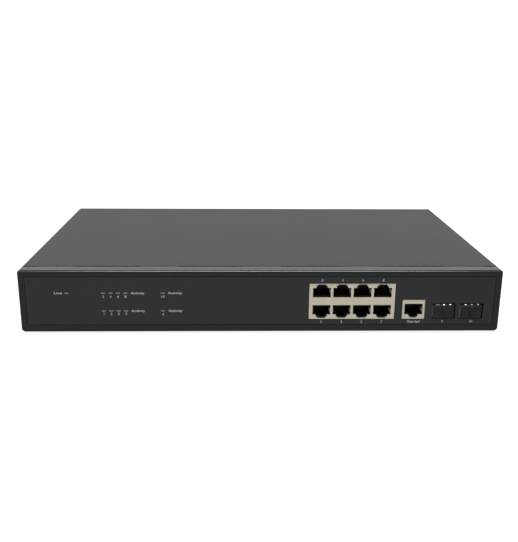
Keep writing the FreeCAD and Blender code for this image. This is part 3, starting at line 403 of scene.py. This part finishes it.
def disc(name, middle, axis, radius, height, sides=40):
    """A cylinder centred on middle, standing along an axis."""
    bpy.ops.object.select_all(action="DESELECT")
    spin = Vector((0, 0, 1)).rotation_difference(Vector(axis)).to_euler()
    bpy.ops.mesh.primitive_cylinder_add(
        vertices=sides, radius=radius, depth=height, location=middle, rotation=spin)
    return named(name)


def pick(piece, kind, test):
    """Open a piece in edit mode with the faces, edges or corners that pass a test selected."""
    only(piece)
    bpy.ops.object.mode_set(mode="EDIT")
    bpy.ops.mesh.select_mode(type=kind)
    bpy.ops.mesh.select_all(action="DESELECT")
    mesh = bmesh.from_edit_mesh(piece.data)
    parts = {"FACE": mesh.faces, "EDGE": mesh.edges, "VERT": mesh.verts}[kind]
    for part in parts:
        part.select_set(bool(test(part)))
    mesh.select_flush_mode()
    bmesh.update_edit_mesh(piece.data)


def close_edit():
    bpy.ops.object.mode_set(mode="OBJECT")


def cut_plane(piece, point, normal):
    """Score a piece all round where a plane crosses it."""
    pick(piece, "FACE", lambda face: True)
    bpy.ops.mesh.bisect(plane_co=point, plane_no=normal)
    close_edit()


def modify(piece, kind, **settings):
    """Add a modifier and apply it at once."""
    only(piece)
    bpy.ops.object.modifier_add(type=kind)
    modifier = piece.modifiers[-1]
    for name, value in settings.items():
        setattr(modifier, name, value)
    bpy.ops.object.modifier_apply(modifier=modifier.name)


def soften(piece, width, segments=3):
    modify(piece, "BEVEL", width=width, segments=segments, limit_method="ANGLE",
           angle_limit=math.radians(30), harden_normals=False)


def join(name, pieces):
    only(pieces[0])
    for piece in pieces[1:]:
        piece.select_set(True)
    bpy.ops.object.join()
    pieces[0].name = name
    return pieces[0]


def hand_over(piece, body, slot, *nodes):
    """Smooth a finished piece, give it its finish, and hang it on its body."""
    only(piece)
    bpy.ops.object.shade_smooth_by_angle(angle=math.radians(32))
    piece.data.materials.clear()
    piece.data.materials.append(finishes[slot])
    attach(piece, body)
    if nodes:
        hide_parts(*nodes)
    print(f"{piece.name}: {len(piece.data.polygons)} faces")


# %% [markdown]
# ## Dust plugs
# Each empty optic slot is closed by a soft moulded plug: a flange that hides the cage's
# edge, a hollow body behind it, and a thin grip down the middle of its face. It could be
# three blocks pushed together, but a moulded part is one skin, so body and grip are both
# pulled out of the flange: its faces are scored or inset, and only that patch is extruded.
# %% Model the plugs
GRIP_WIDE, GRIP_LOW, GRIP_TOP = 1.3 * mm, 0.95 * mm, 1.05 * mm
FLANGE, PLUG_INSET, PLUG_WALL, PLUG_HOLLOW = 0.8 * mm, 0.45 * mm, 1.2 * mm, 9 * mm
NEAR = 0.2 * mm


def patch(piece, facing, middle=None, reach=1.0):
    """Select the faces that look along y; near a middle, when one is given."""
    pick(piece, "FACE", lambda f: f.normal.y * facing > 0.9 and (
        middle is None or (f.calc_center_median() - middle).length < reach))


def pull(length):
    """Extrude the selected faces along y."""
    bpy.ops.mesh.extrude_region_move(TRANSFORM_OT_translate={"value": (0, length, 0)})


def dust_plug(letter):
    node = f"dust_plug_{letter}"
    low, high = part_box(node)
    middle = (low.x + high.x) / 2
    flange_back = case_front + FLANGE
    plug = block(f"{node}_moulded", (low.x, case_front, low.z), (high.x, flange_back, high.z))
    patch(plug, 1)
    bpy.ops.mesh.inset(thickness=PLUG_INSET)
    pull(high.y - flange_back)
    bpy.ops.mesh.inset(thickness=PLUG_WALL)
    pull(-PLUG_HOLLOW)
    close_edit()
    for x in (middle - GRIP_WIDE / 2, middle + GRIP_WIDE / 2):
        cut_plane(plug, (x, 0, 0), (1, 0, 0))
    for z in (low.z + GRIP_LOW, high.z - GRIP_TOP):
        cut_plane(plug, (0, 0, z), (0, 0, 1))
    centre = Vector((middle, case_front, (low.z + GRIP_LOW + high.z - GRIP_TOP) / 2))
    patch(plug, -1, centre, NEAR)
    pull(low.y - case_front)
    close_edit()
    soften(plug, 0.3 * mm)
    hand_over(plug, f"plug_{letter}", "plug_plastic", node)


for letter in "ab":
    dust_plug(letter)

# %% [markdown]
# ## Sprung strips
# Two kinds of small spring show in the front: the bowed fingers round each optic slot,
# which in use press on the case, and the gold wires in each jack. Both are strips that follow a
# line seen from the side. A curve with a bevel would do, but a strip of flat cells whose
# rows are moved onto the line, then given thickness, keeps square edges like real
# punched metal.
# %% A strip that follows a line
def strip(name, middle, wide, line, thick):
    """A punched strip across x at middle, through (y, z) points, thickened equally on both sides."""
    bpy.ops.object.select_all(action="DESELECT")
    bpy.ops.mesh.primitive_grid_add(x_subdivisions=1, y_subdivisions=len(line) - 1, size=1)
    piece = named(name)
    pick(piece, "VERT", lambda vert: True)
    mesh = bmesh.from_edit_mesh(piece.data)
    for vert in mesh.verts:
        step = round((vert.co.y + 0.5) * (len(line) - 1))
        y, z = line[step]
        vert.co = Vector((middle + vert.co.x * wide, y, z))
    bmesh.update_edit_mesh(piece.data)
    close_edit()
    modify(piece, "SOLIDIFY", thickness=thick, offset=0)
    return piece


def copy_of(piece, name, move=Matrix.Identity(4)):
    """A copy with its own mesh, moved within the frame."""
    twin = bpy.data.objects.new(name, piece.data.copy())
    bpy.context.scene.collection.objects.link(twin)
    twin.data.transform(move)
    return twin


# %% Fingers round the optic slots
FINGER_WIDE, FINGER_THICK = 1.1 * mm, 0.16 * mm
TIP_ASIDE, TIP_BACK, TIP_DOWN, SIDE_BACK = 2.15 * mm, 0.9 * mm, 0.55 * mm, 1.4 * mm
FINGER_LINE = [(0.12, 0.12), (0.25, 0.46), (0.45, 0.70), (0.75, 0.80), (1.1, 0.78), (1.7, 0.66),
               (2.6, 0.44), (3.6, 0.24), (4.6, 0.12), (5.3, 0.08)]
FINGER_PITCH, SIDE_PITCH = 4.35 * mm, 3.4 * mm


def spring_collar(letter):
    """A U-shaped band round the cage's mouth with bowed fingers on three sides."""
    node = f"spring_collar_{letter}"
    low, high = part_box(node)
    cage_low, cage_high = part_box(f"optic_cage_{letter}")
    middle, half = (cage_low.x + cage_high.x) / 2, (cage_high.x - cage_low.x) / 2
    centre_z = (cage_low.z + cage_high.z) / 2
    band = block(f"{node}_formed", (cage_low.x, low.y + SIDE_BACK, cage_low.z),
                 (cage_high.x, high.y, cage_high.z))
    pick(band, "FACE", lambda f: abs(f.normal.y) > 0.9 or f.normal.z < -0.9)
    bpy.ops.mesh.delete(type="FACE")
    close_edit()
    modify(band, "SOLIDIFY", thickness=FINGER_THICK, offset=1)
    line = [(case_front + y * mm, cage_high.z + z * mm) for y, z in FINGER_LINE]
    finger = strip("finger", middle, FINGER_WIDE, line, FINGER_THICK)
    parts = [band]
    for step in (-1, 0, 1):
        parts.append(copy_of(finger, "top_finger", Matrix.Translation((step * FINGER_PITCH, 0, 0))))
    for x in (-FINGER_PITCH - TIP_ASIDE, -TIP_ASIDE, TIP_ASIDE, FINGER_PITCH + TIP_ASIDE):
        parts.append(copy_of(finger, "top_tip", Matrix.Translation((x, TIP_BACK, -TIP_DOWN))))
    home = Matrix.Translation((-middle, 0, -cage_high.z))
    for sign in (-1, 1):
        for step in (-1, 0, 1):
            turn = Matrix.Rotation(math.radians(90 * sign), 4, "Y")
            goal = Vector((middle + sign * half, SIDE_BACK, centre_z + step * SIDE_PITCH))
            parts.append(copy_of(finger, "side_finger", Matrix.Translation(goal) @ turn @ home))
    bpy.data.objects.remove(finger)
    collar = join(f"{node}_formed", parts)
    hand_over(collar, "case", "spring_steel", node)


for letter in "ab":
    spring_collar(letter)

# %% [markdown]
# ## Contact wires
# Inside each jack eight gilt wires rise from the side opposite the latch. They could stay
# the straight strips of the frame, but a real one bends over at its tip, and the row of
# bends catches the light. One wire is modelled, then copied along the jack and turned
# over for the jacks that are upside down.
# %% Places of the jacks
PORT_PITCH, PORT_ROW = 13.97 * mm, 6.2 * mm
PORT_HIGH, SERIAL_HIGH = 6.8 * mm, 7.6 * mm
SERIAL_OPENING = 15.8 * mm
block_low, block_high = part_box("port_block_shield")
block_middle = (block_low + block_high) / 2
serial_low, serial_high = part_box("serial_jack_shield")
jacks = []
for column in range(4):
    for row in (1, -1):
        place = Vector((block_middle.x + (column - 1.5) * PORT_PITCH, block_low.y,
                        block_middle.z + row * PORT_ROW))
        jacks.append((place, PORT_HIGH, row))
serial_place = Vector(((serial_low.x + serial_high.x) / 2, serial_low.y,
                       case_under + SERIAL_OPENING))
jacks.append((serial_place, SERIAL_HIGH, -1))

# %% Model the wires
WIRE_PITCH, WIRE_WIDE, WIRE_THICK = 1.02 * mm, 0.42 * mm, 0.22 * mm
WIRE_LINE = [(4.8, 0.14), (5.2, 0.2), (6.0, 0.45), (7.2, 0.85), (8.6, 1.28), (9.8, 1.65),
             (10.8, 1.9), (11.5, 1.98), (12.0, 1.86), (12.2, 1.6), (12.1, 1.3)]


def contact_wires():
    wire = strip("wire", 0, WIRE_WIDE, [(y * mm, z * mm) for y, z in WIRE_LINE], WIRE_THICK)
    wires = []
    for place, high, row in jacks:
        flip = Matrix.Identity(4) if row > 0 else Matrix.Rotation(math.pi, 4, "Y")
        for number in range(8):
            shift = Matrix.Translation(((number - 3.5) * WIRE_PITCH, 0, -high / 2))
            wires.append(copy_of(wire, "wire", Matrix.Translation(place) @ flip @ shift))
    bpy.data.objects.remove(wire)
    hand_over(join("contact_wires_bent", wires), "case", "gold_contact", "contact_wires")


contact_wires()

# %% [markdown]
# ## Earthing tabs in the jacks
# A shielded jack has a springy tab in each side wall, pressed inwards to touch the plug.
# They are small, but they are the bright glints at the sides of each dark opening. They
# use the same strip as before, turned on its side.
# %% Model the tabs
TAB_HIGH, TAB_THICK = 2.6 * mm, 0.15 * mm
TAB_LINE = [(0.5, -0.05), (1.2, 0.0), (2.2, 0.12), (3.2, 0.26), (4.2, 0.32), (5.2, 0.26),
            (5.8, 0.12)]
PORT_WIDE, SERIAL_WIDE = 12.1 * mm, 12.4 * mm


def earthing_tabs():
    tab = strip("tab", 0, TAB_HIGH, [(y * mm, z * mm) for y, z in TAB_LINE], TAB_THICK)
    tabs = []
    for place, high, row in jacks:
        half = (SERIAL_WIDE if high == SERIAL_HIGH else PORT_WIDE) / 2
        for sign in (-1, 1):
            turn = Matrix.Rotation(math.radians(-90 * sign), 4, "Y")
            goal = place + Vector((sign * (half - 0.1 * mm), 0, 0.6 * mm * row))
            tabs.append(copy_of(tab, "tab", Matrix.Translation(goal) @ turn))
    bpy.data.objects.remove(tab)
    hand_over(join("jack_earthing_tabs", tabs), "case", "jack_tin")


earthing_tabs()

# %% [markdown]
# ## Print on the film
# The front carries numbers under and over its jacks and short words by its lights. Print
# could be painted in a material, but letters made as thin meshes stay sharp at any size.
# The words are plain ones for what each light shows. Text is made a mesh first, then
# turned to face the front, and its thickness is that of a coat of ink.
# %% Set the legends
DIGIT, WORD = 2.5 * mm, 2.45 * mm
INK = 0.02 * mm
OVER_PORTS, UNDER_PORTS, UNDER_SLOTS = 36.7 * mm, 6.5 * mm, 6.8 * mm
POWER_X, PORT_WORD_X, SLOT_DIGIT_X, SLOT_WORD_X = -138.3 * mm, -89.2 * mm, -67.65 * mm, -64.1 * mm
SLOT_A_X, SLOT_B_X = 125.3 * mm, 145.2 * mm
LAMP_ROWS, FIRST_LAMP, LAMP_PITCH = (27.7 * mm, 14.9 * mm), -107.9, 5.03
film_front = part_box("front_label")[0].y
lamp_z = [case_under + row for row in LAMP_ROWS]
port_lamps = [(FIRST_LAMP + column * LAMP_PITCH) * mm for column in range(4)]
legends = []


def legend(text, x, z, size, align="CENTER", wide=None):
    """Words and digits on the film; wide stretches a word to its printed length."""
    bpy.ops.object.select_all(action="DESELECT")
    bpy.ops.object.text_add(location=(x, film_front - INK, z), rotation=(math.radians(90), 0, 0))
    letters = bpy.context.active_object
    letters.data.body = text
    letters.data.size = size
    letters.data.align_x = align
    letters.data.align_y = "CENTER"
    letters.data.extrude = INK
    letters.data.resolution_u = 3
    bpy.ops.object.convert(target="MESH")
    if wide:
        letters.scale.x = wide / letters.dimensions.x
    legends.append(named("legend"))


for number, (place, high, row) in enumerate(jacks[:8]):
    digit = str(number + 2 if row > 0 else number)
    legend(digit, place.x, case_under + (OVER_PORTS if row > 0 else UNDER_PORTS), DIGIT)
for column, x in enumerate(port_lamps):
    legend(str(2 * column + 2), x, lamp_z[0] - 2.6 * mm, DIGIT)
    legend(str(2 * column + 1), x, lamp_z[1] - 2.3 * mm, DIGIT)
for z, digit in zip(lamp_z, ("10", "9")):
    legend(digit, SLOT_DIGIT_X, z - 2.7 * mm, DIGIT)
    legend("Activity", PORT_WORD_X, z, WORD, "LEFT", 9.2 * mm)
    legend("Activity", SLOT_WORD_X, z, WORD, "LEFT", 9.6 * mm)
legend("Live", POWER_X, lamp_z[0], WORD, "CENTER", 5.1 * mm)
legend("Serial", serial_place.x + 0.4 * mm, case_under + UNDER_SLOTS, WORD, "CENTER", 8.7 * mm)
legend("9", SLOT_A_X, case_under + UNDER_SLOTS, DIGIT)
legend("10", SLOT_B_X, case_under + UNDER_SLOTS, DIGIT)
hand_over(join("front_legend", legends), "case", "legend_ink")

# %% [markdown]
# ## Screws
# The cover is held by low round heads with a cross recess. A cylinder gives the head, a
# bevel its dome, and the cross is cut by a Boolean with two crossed blocks. Each screw is
# made along its own axis, because they look out of both sides and the back.
# %% Model the screws
RECESS = 0.22 * mm


def screw(middle, outward, radius, height):
    """A low screw head whose base lies at middle and whose top faces outward."""
    outward = Vector(outward)
    head = disc("screw_head", middle + outward * height / 2, outward, radius, height)
    pick(head, "FACE", lambda f: f.normal.dot(outward) > 0.9)
    bpy.ops.mesh.bevel(offset=height * 0.55, segments=4)
    close_edit()
    spin = Vector((0, 0, 1)).rotation_difference(outward).to_matrix().to_4x4()
    top = Matrix.Translation(middle + outward * height)
    for angle in (0, 90):
        reach = radius * 0.55
        slot = block("slot", (-reach, -RECESS, -0.45 * height), (reach, RECESS, height))
        slot.data.transform(top @ spin @ Matrix.Rotation(math.radians(angle), 4, "Z"))
        modify(head, "BOOLEAN", object=slot, operation="DIFFERENCE", solver="EXACT")
        bpy.data.objects.remove(slot)
    return head


HEAD, HEAD_HIGH = 2.8 * mm, 1.0 * mm
SIDE_SCREWS, SIDE_SCREW_HIGH = (116 * mm, 196 * mm), 30 * mm
BACK_SCREWS, BACK_SCREW_HIGH = (-60 * mm, 60 * mm), 38.6 * mm
cover_low, cover_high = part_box("top_cover")
heads = []
for side, x in ((-1, cover_low.x), (1, cover_high.x)):
    for y in SIDE_SCREWS:
        place = Vector((x, case_front + y, case_under + SIDE_SCREW_HIGH))
        heads.append(screw(place, (side, 0, 0), HEAD, HEAD_HIGH))
for x in BACK_SCREWS:
    place = Vector((x, cover_high.y, case_under + BACK_SCREW_HIGH))
    heads.append(screw(place, (0, 1, 0), HEAD, HEAD_HIGH))
hand_over(join("cover_screw_heads", heads), "case", "dark_screw", "cover_screws")

inlet_low, inlet_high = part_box("inlet_screws")
inlet_z = (inlet_low.z + inlet_high.z) / 2
heads = [screw(Vector((x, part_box("inlet_housing")[1].y, inlet_z)), (0, 1, 0), HEAD, 1.4 * mm)
         for x in (inlet_low.x + HEAD, inlet_high.x - HEAD)]
hand_over(join("inlet_screw_heads", heads), "case", "dark_screw", "inlet_screws")

EARTH_HEAD = 4 * mm
earth_low, earth_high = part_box("earth_screw")
earth_middle = (earth_low + earth_high) / 2
washer_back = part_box("earth_washer")[1].y
place = Vector((earth_middle.x, washer_back, earth_middle.z))
head = screw(place, (0, 1, 0), EARTH_HEAD, earth_high.y - washer_back)
head.name = "earth_screw_head"
hand_over(head, "case", "zinc_steel", "earth_screw")

# %% [markdown]
# ## Rubber feet
# Stick-on feet are small rubber dishes: a hollow underneath grips the table. A disc is
# started from a cylinder, its lower face is inset and pushed up, and the rims are
# rounded.
# %% Model the feet
def rubber_foot(x, y, radius, height):
    foot = disc("foot", (x, y, height / 2), (0, 0, 1), radius, height, 48)
    pick(foot, "FACE", lambda f: f.normal.z < -0.9)
    bpy.ops.mesh.inset(thickness=radius * 0.28)
    bpy.ops.mesh.extrude_region_move(TRANSFORM_OT_translate={"value": (0, 0, height * 0.4)})
    close_edit()
    soften(foot, 0.35 * mm)
    return foot


feet_low, feet_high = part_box("rubber_feet")
FOOT = 7 * mm
feet = [rubber_foot(x, y, FOOT, feet_high.z) for x in (feet_low.x + FOOT, feet_high.x - FOOT)
        for y in (feet_low.y + FOOT, feet_high.y - FOOT)]
hand_over(join("rubber_feet_moulded", feet), "case", "rubber", "rubber_feet")

# %% [markdown]
# ## Rocker
# The power switch at the back is a rocker with a shallow V face, marked with a bar for on
# and a ring for off. It is drawn square to the case about its pivot, scored across the
# middle so that the face can be folded in, and then turned to its resting tilt.
# %% Model the rocker
ROCKER_WIDE, UNDER_HALF = 10.4 * mm, 6.0 * mm
PIN, PIN_SPAN, TOUCH = 1 * mm, 12.2 * mm, 0.1 * mm
ROCKER_TILT, ROCKER_WAIST, ROCKER_HALF, ROCKER_UNDER = 10, 2.0 * mm, 7.7 * mm, 5.5 * mm
rocker_joint = [joint for joint in frame["joints"] if joint["name"] == "rocker_tilt"][0]
pivot = Vector(rocker_joint["pos_m"])
rest_tilt = Matrix.Translation(pivot) @ Matrix.Rotation(math.radians(-ROCKER_TILT), 4, "X")
end_high = ROCKER_WAIST + ROCKER_HALF * math.tan(math.radians(ROCKER_TILT))
rocker = block("switch_rocker_moulded", (-ROCKER_WIDE / 2, -ROCKER_UNDER, -ROCKER_HALF),
               (ROCKER_WIDE / 2, end_high, ROCKER_HALF))
cut_plane(rocker, (0, 0, 0), (0, 0, 1))
pick(rocker, "VERT", lambda v: abs(v.co.z) < TOUCH and v.co.y > 0)
bpy.ops.transform.translate(value=(0, ROCKER_WAIST - end_high, 0))
close_edit()
pick(rocker, "VERT", lambda v: v.co.y < -ROCKER_UNDER + TOUCH)
bpy.ops.transform.resize(value=(1, 1, UNDER_HALF / ROCKER_HALF),
                         center_override=(0, -ROCKER_UNDER, 0))
close_edit()
soften(rocker, 0.5 * mm, 4)
pins = disc("pins", (0, 0, 0), (1, 0, 0), PIN, PIN_SPAN, 24)
rocker = join("switch_rocker_moulded", [rocker, pins])
rocker.data.transform(rest_tilt)
hand_over(rocker, "rocker", "rocker_plastic", "switch_rocker")

# %% Mark it with a bar and a ring
bar = block("bar", (-0.22 * mm, -0.02 * mm, -1.4 * mm), (0.22 * mm, 0.03 * mm, 1.4 * mm))
bpy.ops.object.select_all(action="DESELECT")
bpy.ops.mesh.primitive_torus_add(major_radius=1.35 * mm, minor_radius=0.2 * mm, major_segments=32,
                                 minor_segments=8, rotation=(math.radians(90), 0, 0))
ring = named("ring")
ring.data.transform(Matrix.Diagonal((1, 0.15, 1, 1)))
slope = math.radians(ROCKER_TILT)
for mark, sign in ((bar, 1), (ring, -1)):
    reach = ROCKER_HALF * 0.52
    lift = Matrix.Translation((0, ROCKER_WAIST + reach * math.tan(slope), sign * reach))
    mark.data.transform(rest_tilt @ lift @ Matrix.Rotation(sign * slope, 4, "X"))
marks = join("switch_rocker_marks", [bar, ring])
hand_over(marks, "rocker", "legend_ink")
